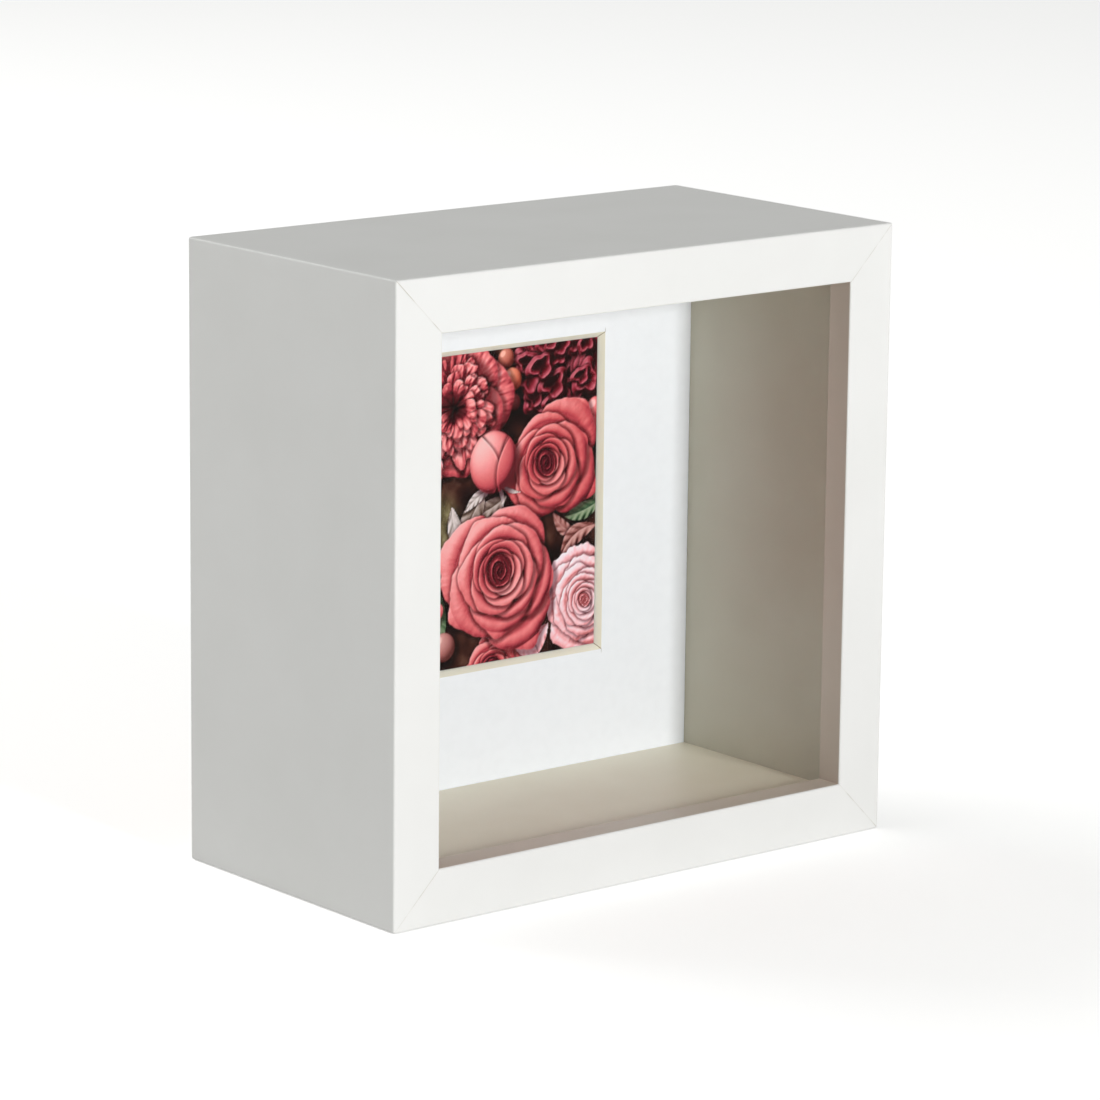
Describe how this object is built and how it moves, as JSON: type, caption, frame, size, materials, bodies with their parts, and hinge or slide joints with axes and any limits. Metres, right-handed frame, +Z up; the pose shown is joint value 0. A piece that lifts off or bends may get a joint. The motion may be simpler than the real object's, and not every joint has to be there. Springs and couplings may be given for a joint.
{
  "type": "shadow box",
  "caption": "Square deep display frame in white moulding with glass, liners, a bevelled window mat over a floral print, and a removable back held by turn buttons.",
  "frame": {"origin": "centre of the bottom of the whole object's box, on the surface that it stands on", "axes": "+Z up, front face towards -Y, +X to the right seen from the front"},
  "size_m": [0.23, 0.1254, 0.23],
  "materials": {
    "moulding": "satin",
    "liner": "satin",
    "glass": "clear",
    "mat": "matte",
    "print": "matte",
    "foam_board": "matte",
    "batten": "raw",
    "fibreboard": "raw",
    "nail_steel": "bright",
    "hardware": "zinc plated",
    "bumper": "translucent"
  },
  "bodies": {
    "frame": {"top_rail": "moulding", "bottom_rail": "moulding", "left_rail": "moulding", "right_rail": "moulding", "corner_v_nails": "nail_steel", "glass_pane": "glass", "top_liner": "liner", "bottom_liner": "liner", "left_liner": "liner", "right_liner": "liner", "turn_button_screws": "hardware", "left_hanger_strap": "hardware", "right_hanger_strap": "hardware", "hanger_screws": "hardware", "wall_bumpers": "bumper"},
    "back": {"window_mat": "mat", "art_print": "print", "backing_board": "foam_board", "top_batten": "batten", "bottom_batten": "batten", "left_batten": "batten", "right_batten": "batten", "back_panel": "fibreboard", "batten_pins": "nail_steel"},
    "top_button": {"top_turn_button": "hardware"},
    "bottom_button": {"bottom_turn_button": "hardware"},
    "left_button": {"left_turn_button": "hardware"},
    "right_button": {"right_turn_button": "hardware"},
    "left_ring": {"left_hanger_ring": "hardware"},
    "right_ring": {"right_hanger_ring": "hardware"}
  },
  "joints": [
    {"name": "back_slide", "type": "slide", "parent": "frame", "child": "back", "axis": [0, 1, 0], "range_m": [0, 0.05]},
    {"name": "top_button_turn", "type": "hinge", "parent": "frame", "child": "top_button", "pos_m": [0, 0.05925, 0.224], "axis": [0, -1, 0], "range_deg": [0, 90]},
    {"name": "bottom_button_turn", "type": "hinge", "parent": "frame", "child": "bottom_button", "pos_m": [0, 0.05925, 0.006], "axis": [0, -1, 0], "range_deg": [0, 90]},
    {"name": "left_button_turn", "type": "hinge", "parent": "frame", "child": "left_button", "pos_m": [-0.109, 0.05925, 0.115], "axis": [0, -1, 0], "range_deg": [0, 90]},
    {"name": "right_button_turn", "type": "hinge", "parent": "frame", "child": "right_button", "pos_m": [0.109, 0.05925, 0.115], "axis": [0, -1, 0], "range_deg": [0, 90]},
    {"name": "left_ring_swing", "type": "hinge", "parent": "frame", "child": "left_ring", "pos_m": [-0.1083, 0.0604, 0.172], "axis": [1, 0, 0], "range_deg": [0, 180]},
    {"name": "right_ring_swing", "type": "hinge", "parent": "frame", "child": "right_ring", "pos_m": [0.1083, 0.0604, 0.172], "axis": [1, 0, 0], "range_deg": [0, 180]}
  ]
}
